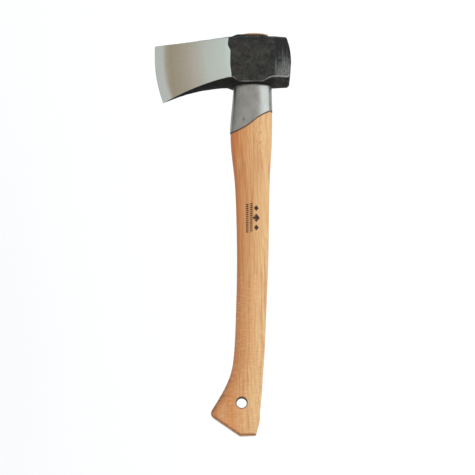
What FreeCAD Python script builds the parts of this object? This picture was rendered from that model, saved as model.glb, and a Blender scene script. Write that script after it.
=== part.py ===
"""Splitting hatchet, lying on its side: forged head, curved handle, steel collar, wedge and staple.

Frame, in millimetres: the origin is the middle of the hang hole, on the hatchet's plane of symmetry.
+X points from the cutting edge to the poll, +Y runs up the handle to the head and +Z is the side
that faces up when the hatchet lies down.
"""
import FreeCAD, Part
import math
import os

import Sketcher

# Side-view stations of the handle, from the knob upwards: height along the handle, front edge, back
# edge and half thickness. The first station lies below the knob's end, which is trimmed afterwards.
HANDLE_STATIONS = {
    "below": (-46.0, -57.2, 19.4, 12.4),
    "tip": (-14.0, -38.9, 21.8, 12.9),
    "hole": (3.0, -28.4, 23.2, 13.0),
    "flare": (17.5, -20.2, 24.5, 12.8),
    "heel": (32.0, -14.0, 25.5, 12.4),
    "waist": (60.0, -9.1, 27.5, 11.8),
    "lower": (104.0, -7.0, 29.6, 11.4),
    "grip": (162.0, -5.7, 32.2, 11.3),
    "upper": (222.0, -6.4, 33.6, 11.7),
    "belly": (281.0, -9.6, 35.2, 12.5),
    "throat": (312.0, -13.0, 37.1, 13.4),
    "sleeve": (340.0, -13.4, 38.0, 14.0),
    "neck": (365.0, -11.3, 37.6, 14.3),
    "shoulder": (390.9, -9.6, 37.1, 14.4),
}

# Cross-sections of the forged blank: place along X, lower and upper edge of the cheek, half thickness
# and how far the crowned under and upper faces bulge past the cheek's edges.
BLADE_STATIONS = {
    "front": (-114.0, 361.0, 442.6, 3.2, 0.6, 0.5),
    "bit": (-97.0, 369.7, 443.6, 5.0, 1.6, 1.2),
    "cheek": (-74.0, 381.0, 445.2, 9.2, 3.4, 2.4),
    "mid": (-48.0, 390.4, 446.4, 15.2, 6.0, 4.0),
    "root": (-18.0, 397.4, 448.0, 21.2, 8.6, 5.6),
}
POLL_STATIONS = {
    "root": BLADE_STATIONS["root"],
    "throat": (41.0, 397.8, 448.8, 21.2, 8.4, 5.6),
    "poll": (66.0, 398.6, 447.9, 18.0, 6.4, 4.8),
}

# Every other driving dimension.
LENGTHS = {
    "oval_ratio": 0.7,          # end radius of an oval section over its half thickness
    "hole_radius": 6.2,
    "tip_front_x": -36.2,       # the knob's tip is round, from its front to its slanted end
    "tip_front_y": -8.4,
    "tip_end_x": -33.2,
    "tip_end_y": -18.0,
    "tip_round": 8.0,
    "end_front_x": -2.0,        # the slanted end runs down to the flat end
    "end_y": -39.0,
    "end_back_x": 16.8,
    "end_back_y": -38.3,
    "corner_x": 26.0,
    "corner_y": -5.1,
    "trim_reach": 70.0,
    "end_bevel": 2.0,
    "eye_low_front": -3.6,
    "eye_low_back": 31.6,
    "eye_low_half": 9.5,
    "eye_top_y": 457.7,
    "eye_top_front": -2.2,
    "eye_top_back": 34.6,
    "eye_top_half": 10.3,
    "ring_front": -16.5,
    "ring_back": 38.5,
    "ring_half": 21.0,
    "ring_corner": 16.0,
    "ring_top_y": 453.6,
    "ring_low_bevel": 1.2,
    "ring_top_bevel": 4.6,
    "ring_top_slope": 6.0,
    "bit_radius": 179.1,        # the edge is an arc, and the cheeks are ground about its centre
    "bit_centre_x": 70.9,
    "bit_centre_y": 432.5,
    "edge_half": 0.25,
    "bevel_depth": 11.0,
    "bevel_half": 3.1,
    "grind_depth": 88.0,
    "grind_radius": 550.0,
    "grind_clear": 30.0,
    "poll_face_x": 61.3,
    "poll_face_y": 417.5,
    "poll_face_radius": 90.0,
    "poll_trim": 60.0,
    "wedge_half_top": 3.0,
    "wedge_half_low": 0.6,
    "wedge_low_y": 421.0,
    "wedge_front": -0.6,
    "wedge_back": 33.0,
    "kerf_front": -12.0,
    "kerf_back": 46.0,
    "staple_x": 16.2,
    "staple_turn": 32.0,
    "staple_half_length": 11.0,
    "staple_half_width": 1.2,
    "staple_crown": 2.0,
    "staple_leg": 20.0,
    "staple_leg_width": 3.0,
    "collar_proud": 0.6,        # how far the sheet stands out of the wood
    "collar_sunk": 0.9,         # how far it is let into the wood
    "collar_front_x": -26.0,
    "collar_front_y": 328.0,
    "collar_rise_x": -8.0,
    "collar_rise_y": 331.4,
    "collar_bend_x": 12.5,
    "collar_bend_y": 342.6,
    "collar_fall_x": 36.8,
    "collar_fall_y": 358.6,
    "collar_tail_x": 50.0,
    "collar_tail_y": 343.0,
    "collar_floor_y": 300.0,
    "collar_rise_radius": 62.0,
    "collar_fall_radius": 90.0,
    "dimple_x": 2.5,
    "dimple_y": 345.5,
    "dimple_z": 16.9,
    "dimple_radius": 3.0,
}

STATION_FIELDS = ("y", "front", "back", "half")
BLANK_FIELDS = ("x", "low", "high", "half", "crown_low", "crown_high")
TOUCHING = 1e-3
FULL_TURN = 360.0

document = FreeCAD.newDocument("Hatchet")
sheet = document.addObject("Spreadsheet::Sheet", "Dimensions")
numbers = {}


class Size:
    """A length worked out from the sheet: its number, and the expression that keeps it up to date."""

    def __init__(self, number, expression):
        self.number = number
        self.expression = expression

    def __add__(self, other):
        return Size(self.number + other.number, f"({self.expression} + {other.expression})")

    def __sub__(self, other):
        return Size(self.number - other.number, f"({self.expression} - {other.expression})")

    def __mul__(self, other):
        return Size(self.number * other.number, f"({self.expression} * {other.expression})")

    def __truediv__(self, other):
        return Size(self.number / other.number, f"({self.expression} / {other.expression})")

    def __neg__(self):
        return Size(-self.number, f"(-{self.expression})")


def constant(number):
    """A plain number that takes part in a Size's sums."""
    return Size(number, str(number))


def size(alias):
    """The length that the sheet keeps under this alias."""
    return Size(numbers[alias], f"Dimensions.{alias}")


def fill_sheet():
    """Write every driving dimension to the sheet, one row each: its alias and its value."""
    numbers.update(LENGTHS)
    for family, stations, fields in (
        ("wood", HANDLE_STATIONS, STATION_FIELDS),
        ("blade", BLADE_STATIONS, BLANK_FIELDS),
        ("block", POLL_STATIONS, BLANK_FIELDS),
    ):
        for name, values in stations.items():
            for field, value in zip(fields, values):
                numbers[f"{family}_{name}_{field}"] = value
    for row, (alias, value) in enumerate(numbers.items(), start=1):
        sheet.set(f"A{row}", alias)
        sheet.set(f"B{row}", str(value))
        sheet.setAlias(f"B{row}", alias)
    document.recompute()


def new_body(name):
    """An empty body."""
    return document.addObject("PartDesign::Body", name)


def new_sketch(body, name, plane, offset, shift=None):
    """A sketch parallel to one of the body's origin planes, moved along its normal, and maybe in it."""
    sketch = body.newObject("Sketcher::SketchObject", name)
    origin_plane = next(item for item in body.Origin.OriginFeatures if item.Role == plane)
    sketch.AttachmentSupport = [(origin_plane, "")]
    sketch.MapMode = "FlatFace"
    across = shift.number if shift else 0.0
    sketch.AttachmentOffset = FreeCAD.Placement(FreeCAD.Vector(across, 0, offset.number), FreeCAD.Rotation())
    sketch.setExpression(".AttachmentOffset.Base.z", offset.expression)
    if shift:
        sketch.setExpression(".AttachmentOffset.Base.x", shift.expression)
    return sketch


def bind(sketch, kind, where, length):
    """Add a dimension to a sketch and bind it to the sheet."""
    index = sketch.addConstraint(Sketcher.Constraint(kind, *where, length.number))
    sketch.setExpression(f"Constraints[{index}]", length.expression)


def place_point(sketch, geometry, point, across, up):
    """Fix a point of a sketch at two coordinates."""
    for kind, coordinate in (("DistanceX", across), ("DistanceY", up)):
        bind(sketch, kind, (-1, 1, geometry, point), coordinate)


def arc(centre_x, centre_y, radius, start, end):
    """An arc in a sketch's plane, from one angle to the other."""
    circle = Part.Circle(FreeCAD.Vector(centre_x, centre_y, 0), FreeCAD.Vector(0, 0, 1), radius)
    return Part.ArcOfCircle(circle, start, end)


def draw_outline(sketch, points, bulges=None):
    """A closed outline through the points.

    bulges gives the radius of each side that is an arc, by the side's number: a positive radius bulges
    to the left of the way round, a negative one to the right.
    """
    bulges = bulges or {}
    count = len(points)
    ends = []
    for number, (across, up) in enumerate(points):
        start = FreeCAD.Vector(across.number, up.number, 0)
        after = points[(number + 1) % count]
        end = FreeCAD.Vector(after[0].number, after[1].number, 0)
        if number not in bulges:
            geometry = sketch.addGeometry(Part.LineSegment(start, end), False)
            ends.append((geometry, 1, 2))
            continue
        radius = bulges[number].number
        chord = end - start
        left = FreeCAD.Vector(-chord.y, chord.x, 0).normalize()
        reach = math.sqrt(radius**2 - (chord.Length / 2) ** 2)
        centre = (start + end) * 0.5 - left * math.copysign(reach, radius)
        first, last = (end, start) if radius > 0 else (start, end)
        start_angle = math.atan2(first.y - centre.y, first.x - centre.x)
        end_angle = math.atan2(last.y - centre.y, last.x - centre.x)
        if end_angle < start_angle:
            end_angle += 2 * math.pi
        geometry = sketch.addGeometry(arc(centre.x, centre.y, abs(radius), start_angle, end_angle), False)
        ends.append((geometry, 2, 1) if radius > 0 else (geometry, 1, 2))
        magnitude = bulges[number] if radius > 0 else -bulges[number]
        bind(sketch, "Radius", (geometry,), magnitude)
    for number, (geometry, start_point, end_point) in enumerate(ends):
        following = ends[(number + 1) % count]
        sketch.addConstraint(Sketcher.Constraint("Coincident", geometry, end_point, following[0], following[1]))
        place_point(sketch, geometry, start_point, *points[number])


def draw_oval(sketch, front, back, half, end_radius, grow=None):
    """An oval of two flat arcs and two end arcs, all tangent, with its long axis along the sketch's X.

    grow moves the whole outline outwards, or inwards if it is negative.
    """
    half_length = (back - front) / constant(2)
    straight = half_length - end_radius
    flat_radius = (straight * straight + half * half - end_radius * end_radius) / (
        constant(2) * (half - end_radius)
    )
    grow = grow or constant(0)
    middle = (front + back).number / 2
    lift = flat_radius.number - half.number
    turn = math.atan2(lift, straight.number)
    small = (end_radius + grow).number
    large = (flat_radius + grow).number
    right = sketch.addGeometry(arc(middle + straight.number, 0, small, -turn, turn), False)
    top = sketch.addGeometry(arc(middle, -lift, large, turn, math.pi - turn), False)
    left = sketch.addGeometry(arc(middle - straight.number, 0, small, math.pi - turn, math.pi + turn), False)
    bottom = sketch.addGeometry(arc(middle, lift, large, math.pi + turn, 2 * math.pi - turn), False)
    for first, second in ((right, top), (top, left), (left, bottom), (bottom, right)):
        sketch.addConstraint(Sketcher.Constraint("Tangent", first, 2, second, 1))
    for end in (right, left):
        sketch.addConstraint(Sketcher.Constraint("PointOnObject", end, 3, -1))
    sketch.addConstraint(Sketcher.Constraint("Equal", right, left))
    sketch.addConstraint(Sketcher.Constraint("Equal", top, bottom))
    bind(sketch, "DistanceX", (-1, 1, left, 3), front + end_radius)
    bind(sketch, "DistanceX", (-1, 1, right, 3), back - end_radius)
    bind(sketch, "Radius", (right,), end_radius + grow)
    bind(sketch, "Radius", (top,), flat_radius + grow)


def draw_crowned_block(sketch, low, high, half, crown_low, crown_high):
    """A section of the head: two straight cheeks, with crowned faces bulging under and over them."""
    low_radius = (half * half + crown_low * crown_low) / (constant(2) * crown_low)
    high_radius = (half * half + crown_high * crown_high) / (constant(2) * crown_high)
    corners = [(low, half), (low, -half), (high, -half), (high, half)]
    draw_outline(sketch, corners, {0: -low_radius, 2: -high_radius})


def draw_rounded_rectangle(sketch, front, back, half, corner):
    """A rectangle along the sketch's X with four round corners."""
    points = [
        (front + corner, -half), (back - corner, -half),
        (back, corner - half), (back, half - corner),
        (back - corner, half), (front + corner, half),
        (front, half - corner), (front, corner - half),
    ]
    draw_outline(sketch, points, {side: -corner for side in (1, 3, 5, 7)})


def loft(body, kind, name, sketches, ruled=False):
    """A loft through the sketches, added to the body or cut from it."""
    feature = body.newObject(f"PartDesign::{kind}Loft", name)
    feature.Profile = sketches[0]
    feature.Sections = sketches[1:]
    feature.Ruled = ruled
    for sketch in sketches:
        sketch.Visibility = False
    document.recompute()
    return feature


def cut_through(body, name, sketch):
    """Cut a sketch right through the body on both sides of its plane, and check that it cuts."""
    before = body.Shape.Volume
    pocket = body.newObject("PartDesign::Pocket", name)
    pocket.Profile = sketch
    pocket.Type = "ThroughAll"
    pocket.Midplane = True
    document.recompute()
    if body.Shape.Volume > before - TOUCHING:
        raise RuntimeError(f"{name} cuts nothing")


def edges_of(body, wanted):
    """The names of the body's edges that the test accepts."""
    return [f"Edge{number}" for number, edge in enumerate(body.Shape.Edges, start=1) if wanted(edge)]


def station_sketch(body, station, name, grow=None):
    """The handle's oval section at one of its stations."""
    front, back, half = (size(f"wood_{station}_{field}") for field in ("front", "back", "half"))
    sketch = new_sketch(body, name, "XZ_Plane", -size(f"wood_{station}_y"))
    draw_oval(sketch, front, back, half, half * size("oval_ratio"), grow)
    return sketch


def eye_sketches(body):
    """The eye's ovals at the underside of the ring and at the top of the tongue."""
    levels = (("low", size("wood_shoulder_y")), ("top", size("eye_top_y")))
    sketches = []
    for level, height in levels:
        front, back, half = (size(f"eye_{level}_{field}") for field in ("front", "back", "half"))
        sketch = new_sketch(body, f"eye_{level}", "XZ_Plane", -height)
        draw_oval(sketch, front, back, half, half * size("oval_ratio"))
        sketches.append(sketch)
    return sketches


def wedge_outline(body, name):
    """The wedge's taper across the hatchet, from the top of the tongue down into the eye."""
    sketch = new_sketch(body, name, "YZ_Plane", constant(0))
    top, low = size("eye_top_y"), size("wedge_low_y")
    half_top, half_low = size("wedge_half_top"), size("wedge_half_low")
    draw_outline(sketch, [(low, -half_low), (top, -half_top), (top, half_top), (low, half_low)])
    return sketch


def set_reach(feature, sketch, front, back):
    """Run a feature from one X to another by moving its sketch to the front and giving its length."""
    sketch.setExpression(".AttachmentOffset.Base.z", front.expression)
    reach = back - front
    feature.Length = reach.number
    feature.setExpression("Length", reach.expression)


def make_handle_blank():
    """The wood: oval sections lofted up to the shoulder, the knob's end, the tongue and its kerf."""
    body = new_body("handle_blank")
    loft(body, "Additive", "handle_loft", [station_sketch(body, name, f"wood_{name}") for name in HANDLE_STATIONS])
    loft(body, "Additive", "tongue", eye_sketches(body), ruled=True)

    end = new_sketch(body, "knob_end", "XY_Plane", constant(0))
    outside = -size("trim_reach")
    draw_outline(end, [
        (outside, size("tip_front_y")),
        (outside, outside),
        (size("corner_x"), outside),
        (size("corner_x"), size("corner_y")),
        (size("end_back_x"), size("end_back_y")),
        (size("end_front_x"), size("end_y")),
        (size("tip_end_x"), size("tip_end_y")),
        (size("tip_front_x"), size("tip_front_y")),
    ], {6: size("tip_round")})
    cut_through(body, "trim_end", end)

    hole = new_sketch(body, "hang_hole_circle", "XY_Plane", constant(0))
    radius = size("hole_radius")
    circle = Part.Circle(FreeCAD.Vector(0, 0, 0), FreeCAD.Vector(0, 0, 1), radius.number)
    ring = hole.addGeometry(circle, False)
    hole.addConstraint(Sketcher.Constraint("Coincident", ring, 3, -1, 1))
    bind(hole, "Radius", (ring,), radius)
    cut_through(body, "hang_hole", hole)

    kerf = wedge_outline(body, "kerf_outline")
    slot = body.newObject("PartDesign::Pocket", "kerf")
    slot.Profile = kerf
    slot.Reversed = True
    set_reach(slot, kerf, size("kerf_front"), size("kerf_back"))
    document.recompute()
    return body


def bevel_knob(body):
    """Bevel the rim of the knob's trimmed end, where its end faces meet the oval sides."""

    def is_end_face(face):
        low = face.BoundBox.YMax < size("tip_front_y").number + TOUCHING
        return low and isinstance(face.Surface, (Part.Plane, Part.Cylinder))

    end_faces = [face for face in body.Shape.Faces if is_end_face(face)]

    def is_rim(edge):
        return sum(any(edge.isSame(other) for other in face.Edges) for face in end_faces) == 1

    trimmed = body.Tip
    rim = edges_of(body, is_rim)
    bevel = body.newObject("PartDesign::Chamfer", "end_bevel")
    bevel.Base = (trimmed, rim)
    bevel.Size = size("end_bevel").number
    bevel.setExpression("Size", size("end_bevel").expression)
    document.recompute()


def make_collar():
    """The sheet-steel sleeve: an offset of the handle's ovals, cut to a slanted S at its lower end."""
    body = new_body("collar")
    stations = ("throat", "sleeve", "neck", "shoulder")
    outer = [station_sketch(body, name, f"outer_{name}", size("collar_proud")) for name in stations]
    loft(body, "Additive", "outer_skin", outer)
    inner = [station_sketch(body, name, f"inner_{name}", -size("collar_sunk")) for name in stations]
    loft(body, "Subtractive", "inner_skin", inner)
    edge = new_sketch(body, "lower_edge", "XY_Plane", constant(0))
    floor = size("collar_floor_y")
    draw_outline(edge, [
        (size("collar_front_x"), floor),
        (size("collar_tail_x"), floor),
        (size("collar_tail_x"), size("collar_tail_y")),
        (size("collar_fall_x"), size("collar_fall_y")),
        (size("collar_bend_x"), size("collar_bend_y")),
        (size("collar_rise_x"), size("collar_rise_y")),
        (size("collar_front_x"), size("collar_front_y")),
    ], {3: -size("collar_fall_radius"), 4: size("collar_rise_radius")})
    cut_through(body, "slanted_edge", edge)
    for side, name in ((1, "dimple_up"), (-1, "dimple_down")):
        dimple = body.newObject("PartDesign::SubtractiveSphere", name)
        dimple.Radius = size("dimple_radius").number
        dimple.setExpression("Radius", size("dimple_radius").expression)
        dimple.AttachmentOffset = FreeCAD.Placement(
            FreeCAD.Vector(size("dimple_x").number, size("dimple_y").number, side * size("dimple_z").number),
            FreeCAD.Rotation(),
        )
        dimple.setExpression(".AttachmentOffset.Base.x", size("dimple_x").expression)
        dimple.setExpression(".AttachmentOffset.Base.y", size("dimple_y").expression)
        dimple.setExpression(".AttachmentOffset.Base.z", (constant(side) * size("dimple_z")).expression)
        document.recompute()
    return body


def make_wedge():
    """The wooden wedge, as long as the tongue is wide."""
    body = new_body("wedge_blank")
    outline = wedge_outline(body, "wedge_outline")
    pad = body.newObject("PartDesign::Pad", "wedge_pad")
    pad.Profile = outline
    set_reach(pad, outline, size("wedge_front"), size("wedge_back"))
    document.recompute()
    return body


def make_staple():
    """The staple: a crown flush with the tongue's top and three legs down into the wood."""
    body = new_body("wedge_staple")
    half_length, half_width = size("staple_half_length"), size("staple_half_width")
    leg_width = size("staple_leg_width")

    def bar(name, front, back, length):
        sketch = new_sketch(body, f"{name}_outline", "XZ_Plane", constant(0))
        draw_outline(sketch, [(front, -half_width), (back, -half_width), (back, half_width), (front, half_width)])
        pad = body.newObject("PartDesign::Pad", name)
        pad.Profile = sketch
        pad.Length = length.number
        pad.setExpression("Length", length.expression)
        document.recompute()

    bar("crown", -half_length, half_length, size("staple_crown"))
    half_leg = leg_width / constant(2)
    bar("front_leg", -half_length, leg_width - half_length, size("staple_leg"))
    bar("middle_leg", -half_leg, half_leg, size("staple_leg"))
    bar("back_leg", half_length - leg_width, half_length, size("staple_leg"))
    body.Placement = FreeCAD.Placement(
        FreeCAD.Vector(size("staple_x").number, size("eye_top_y").number, 0),
        FreeCAD.Rotation(FreeCAD.Vector(0, 1, 0), size("staple_turn").number),
    )
    body.setExpression(".Placement.Base.x", size("staple_x").expression)
    body.setExpression(".Placement.Base.y", size("eye_top_y").expression)
    body.setExpression(".Placement.Rotation.Angle", size("staple_turn").expression)
    document.recompute()
    return body


def blank_sketch(body, family, station):
    """A section across the forged blank at one of its stations."""
    low, high, half, crown_low, crown_high = (size(f"{family}_{station}_{field}") for field in BLANK_FIELDS[1:])
    sketch = new_sketch(body, f"{family}_{station}", "YZ_Plane", size(f"{family}_{station}_x"))
    draw_crowned_block(sketch, low, high, half, crown_low, crown_high)
    return sketch


def make_head():
    """The forged head: crowned blank, cheeks ground about the edge's centre, poll, eye ring and eye."""
    body = new_body("axe_head")
    loft(body, "Additive", "blade_blank", [blank_sketch(body, "blade", name) for name in BLADE_STATIONS])
    loft(body, "Additive", "poll_blank", [blank_sketch(body, "block", name) for name in POLL_STATIONS], ruled=True)

    grind = new_sketch(body, "grind_profile", "XZ_Plane", -size("bit_centre_y"), size("bit_centre_x"))
    edge_x = -size("bit_radius")
    bevel_x = edge_x + size("bevel_depth")
    root_x = edge_x + size("grind_depth")
    clear_x = edge_x - size("grind_clear")
    clear_z = size("ring_half") + size("grind_clear")
    edge_z, bevel_z, root_z = size("edge_half"), size("bevel_half"), size("ring_half")
    axis_x = constant(0)
    draw_outline(grind, [
        (clear_x, -clear_z), (axis_x, -clear_z), (axis_x, -root_z), (root_x, -root_z), (bevel_x, -bevel_z),
        (edge_x, -edge_z), (edge_x, edge_z), (bevel_x, bevel_z), (root_x, root_z), (axis_x, root_z),
        (axis_x, clear_z), (clear_x, clear_z),
    ], {3: -size("grind_radius"), 7: -size("grind_radius")})
    before = body.Shape.Volume
    groove = body.newObject("PartDesign::Groove", "ground_cheeks")
    groove.Profile = grind
    groove.ReferenceAxis = (grind, ["V_Axis"])
    groove.Angle = FULL_TURN
    document.recompute()
    if body.Shape.Volume > before - TOUCHING:
        raise RuntimeError("the cheeks are not ground")

    face = new_sketch(body, "poll_face", "XY_Plane", constant(0))
    trim = size("poll_trim")
    poll_x, poll_y = size("poll_face_x"), size("poll_face_y")
    radius = size("poll_face_radius")
    sag = radius - Size(
        math.sqrt(radius.number**2 - trim.number**2),
        f"sqrt({radius.expression} ^ 2 - {trim.expression} ^ 2)",
    )
    draw_outline(face, [
        (poll_x - sag, poll_y - trim), (poll_x + trim, poll_y - trim),
        (poll_x + trim, poll_y + trim), (poll_x - sag, poll_y + trim),
    ], {3: radius})
    cut_through(body, "poll_crown", face)

    low_bevel, top_bevel = size("ring_low_bevel"), size("ring_top_bevel")
    rings = []
    for name, height, inset in (
        ("ring_underside", size("wood_shoulder_y"), low_bevel),
        ("ring_low", size("wood_shoulder_y") + low_bevel, constant(0)),
        ("ring_high", size("ring_top_y") - top_bevel, constant(0)),
        ("ring_top", size("ring_top_y"), size("ring_top_slope")),
    ):
        ring = new_sketch(body, name, "XZ_Plane", -height)
        front, back = size("ring_front") + inset, size("ring_back") - inset
        draw_rounded_rectangle(ring, front, back, size("ring_half") - inset, size("ring_corner") - inset)
        rings.append(ring)
    loft(body, "Additive", "eye_ring", rings, ruled=True)
    loft(body, "Subtractive", "eye", eye_sketches(body), ruled=True)
    return body


def combine(kind, name, base, tool):
    """A boolean of two shapes under a new name."""
    result = document.addObject(f"Part::{kind}", name)
    result.Base = base
    result.Tool = tool
    document.recompute()
    return result


def check_objects(sub_parts):
    """Stop if any object failed or any sub-part's shape is missing or broken."""
    for item in document.Objects:
        if {"Invalid", "Error"} & set(item.State):
            raise RuntimeError(f"{item.Label} failed: {item.State}")
    for name, item in sub_parts.items():
        if item.Shape.isNull() or not item.Shape.isValid():
            raise RuntimeError(f"{name} has no valid shape")
        if len(item.Shape.Solids) != 1:
            raise RuntimeError(f"{name} is {len(item.Shape.Solids)} solids")


def main():
    """Build the document, check it and write one STEP file for each sub-part."""
    fill_sheet()
    head = make_head()
    collar = make_collar()
    staple = make_staple()
    blank = make_handle_blank()
    bevel_knob(blank)
    sleeved = combine("Cut", "handle_with_sleeve_seat", blank, collar)
    handle = combine("Cut", "handle", sleeved, staple)
    wedge = combine("Cut", "wood_wedge", make_wedge(), staple)

    sub_parts = {
        "axe_head": head,
        "handle": handle,
        "collar": collar,
        "wood_wedge": wedge,
        "wedge_staple": staple,
    }
    for name, item in sub_parts.items():
        item.Label = name
    document.recompute()
    check_objects(sub_parts)
    os.makedirs("parts", exist_ok=True)
    for name, item in sub_parts.items():
        item.Shape.exportStep(f"parts/{name}.step")
        box = item.Shape.BoundBox
        print(f"{name}: {item.Shape.Volume / 1000:.1f} cm3, X {box.XMin:.1f} {box.XMax:.1f}, "
              f"Y {box.YMin:.1f} {box.YMax:.1f}, Z {box.ZMin:.1f} {box.ZMax:.1f}")


main()
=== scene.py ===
"""Looks of the splitting hatchet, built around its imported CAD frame. Lengths are in metres.

The hatchet lies on its side: +X runs from the cutting edge to the poll, +Y up the handle to the head
and +Z out of the side that faces up.
"""
import math

import bmesh
import bpy
import numpy as np
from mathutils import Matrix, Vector, noise
from mathutils.kdtree import KDTree


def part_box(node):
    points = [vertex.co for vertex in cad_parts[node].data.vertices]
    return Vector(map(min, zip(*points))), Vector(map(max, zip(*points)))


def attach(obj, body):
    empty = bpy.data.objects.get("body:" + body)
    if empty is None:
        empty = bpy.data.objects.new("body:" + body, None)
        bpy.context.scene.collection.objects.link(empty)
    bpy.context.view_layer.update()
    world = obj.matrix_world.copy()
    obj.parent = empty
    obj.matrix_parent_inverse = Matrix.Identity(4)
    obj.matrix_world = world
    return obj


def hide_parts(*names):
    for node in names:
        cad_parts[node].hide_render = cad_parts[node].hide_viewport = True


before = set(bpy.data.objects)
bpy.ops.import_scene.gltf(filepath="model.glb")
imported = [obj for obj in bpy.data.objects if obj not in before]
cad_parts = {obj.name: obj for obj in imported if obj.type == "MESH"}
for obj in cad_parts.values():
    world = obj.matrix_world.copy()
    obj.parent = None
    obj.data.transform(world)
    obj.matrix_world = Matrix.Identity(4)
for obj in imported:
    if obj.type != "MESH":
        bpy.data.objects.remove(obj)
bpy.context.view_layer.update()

MM = 0.001
HEAD_LOW, HEAD_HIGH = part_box("axe_head")
COLLAR_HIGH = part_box("collar")[1]
HANDLE_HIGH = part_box("handle")[1]

# The head is drawn in its own millimetres: "back" is the distance behind the foremost point of the
# cutting edge, "up" the height over the underside of the ring round the eye.
EDGE_X = HEAD_LOW.x / MM
POLL_BACK = (HEAD_HIGH.x - HEAD_LOW.x) / MM
RING_Y = COLLAR_HIGH.y / MM
RING_TOP = HEAD_HIGH.y / MM - RING_Y
EYE_HALF = HEAD_HIGH.z / MM
EYE_TOP = HANDLE_HIGH.y / MM - RING_Y

BIT_RADIUS = 179.1                  # the cutting edge is an arc, and the cheeks are ground about its centre
BIT_CENTRE_UP = 41.6
EDGE_HALF, THINNEST_HALF = 0.25, 0.2
BEVEL_DEPTH, BEVEL_HALF = 11.0, 3.1
GRIND_DEPTH, GRIND_RADIUS = 88.0, 550.0
ROOT_BACK, THROAT_BACK = 90.2, 149.2        # where the eye's flat cheeks begin and end
CHEEK_LOW, CHEEK_HIGH = 6.5, 57.1           # the cheek's lower and upper edge at the root
LOW_SLOPE, LOW_CURVE, LOW_TAIL = 0.1615, 0.002394, 0.012
HIGH_SLOPE, HIGH_EYE_SLOPE, HIGH_POLL_SLOPE = 0.0552, 0.0136, 0.036
CROWN_LOW, CROWN_HIGH = 0.40, 0.265         # bulge of the under and upper faces over the half thickness
POLL_CENTRE_UP, POLL_RADIUS = 26.6, 90.0
POLL_TAPER, POLL_TAPER_BACK = 0.128, THROAT_BACK + 1.6
RING_FRONT, RING_BACK = 91.7, 146.7
RING_CORNER = 16.0
RING_BEVEL = 1.2
RING_WALL_FRONT, RING_WALL_BACK = 3.0, 1.3  # how steeply the lug's lower edge runs up to the cheek
RING_SHOULDER, RING_SHOULDER_RISE, SHOULDER_WALL = 6.0, 4.6, 3.0
UNDER_FILLET, TOP_FILLET = 2.6, 2.2
EYE_FRONT, EYE_REAR, EYE_WIDTH = 104.6, 139.8, 9.5
EYE_FRONT_TOP, EYE_REAR_TOP, EYE_WIDTH_TOP = 106.0, 142.8, 10.3
EYE_POINTS, EYE_OVERRUN = 120, 4.0

# How finely the head's mesh is divided, and the radius round the poll face.
STATIONS, CHEEK_ROWS, CROWN_ROWS = 230, 84, 40
RIM, RIM_TURNS = 0.9, (22.5, 45.0, 67.5, 90.0)
MIDDLE_UP, SOLVE_PASSES = 35.0, 6

# How far the forged faces sink below the ground ones, by blobs of two sizes.
DENT_SIZE, DENT_SINK = 9.0, 0.30
GRIT_SIZE, GRIT_SINK = 2.2, 0.10
SCALE_DEPTH = GRIND_DEPTH + 8.0             # where the sinking starts, measured from the cutting edge
SCALE_FADE = 3.0

# Places in the hatchet's own millimetres, as (x, y).
DIMPLE = (2.5, 345.5)                       # the collar's staking dimple
TORN_PATCH = (49.0, 421.5)                  # a torn patch on the poll's cheek
HANG_HOLE = (0.0, 0.0)
KNOB_TIP, KNOB_TURN, KNOB_BACK = (-33.2, -18.0), (-2.0, -39.0), (16.8, -38.3)   # corners of its end faces


def smooth_step(low, high, value):
    """0 below low, 1 above high, and a smooth rise between."""
    t = np.clip((value - low) / (high - low), 0.0, 1.0)
    return t * t * (3.0 - 2.0 * t)


def smooth_min(a, b, radius):
    """The smaller of two heights, with a fillet of about this radius where they cross."""
    h = np.clip(radius - np.abs(a - b), 0.0, None) / radius
    return np.minimum(a, b) - h * h * radius / 4.0


def noise_field(points, scale, seed, octaves):
    """Smooth noise between about -1 and 1 at each point; scale is the size of its largest blobs."""
    shift = Vector((seed * 17.3, seed * 5.1, seed * 9.7))
    out = np.empty(len(points))
    for i, p in enumerate(points):
        value, weight, total = 0.0, 1.0, 0.0
        q = Vector(p) / scale + shift
        for _ in range(octaves):
            value += weight * noise.noise(q)
            total += weight
            weight *= 0.5
            q = q * 2.03
        out[i] = value / total
    return out


# ---------------------------------------------------------------- head

def edge_back(up):
    """How far behind its foremost point the cutting edge lies at a height."""
    return BIT_RADIUS - np.sqrt(BIT_RADIUS**2 - (up - BIT_CENTRE_UP) ** 2)


def poll_back(up):
    """Where the crowned poll face lies at a height."""
    return POLL_BACK - (POLL_RADIUS - np.sqrt(POLL_RADIUS**2 - (up - POLL_CENTRE_UP) ** 2))


def edge_distance(back, up):
    """Distance to the cutting edge, measured towards the centre of its arc."""
    return BIT_RADIUS - np.hypot(BIT_RADIUS - back, up - BIT_CENTRE_UP)


def half_thickness(back, up):
    """Half the head's thickness: edge bevel, hollow-ground cheeks, flat eye and tapering poll."""
    depth = edge_distance(back, up)
    bevel = EDGE_HALF + (BEVEL_HALF - EDGE_HALF) * depth / BEVEL_DEPTH
    span = GRIND_DEPTH - BEVEL_DEPTH
    along = np.clip((depth - BEVEL_DEPTH) / span, 0.0, 1.0)
    chord = math.hypot(span, EYE_HALF - BEVEL_HALF)
    hollow = BEVEL_HALF + (EYE_HALF - BEVEL_HALF) * along
    hollow = hollow - chord**2 * along * (1.0 - along) / (2.0 * GRIND_RADIUS)
    blade = np.where(depth < BEVEL_DEPTH, np.maximum(bevel, THINNEST_HALF), hollow)
    poll = EYE_HALF - POLL_TAPER * (back - POLL_TAPER_BACK)
    return np.minimum(blade, np.minimum(poll, EYE_HALF))


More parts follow.
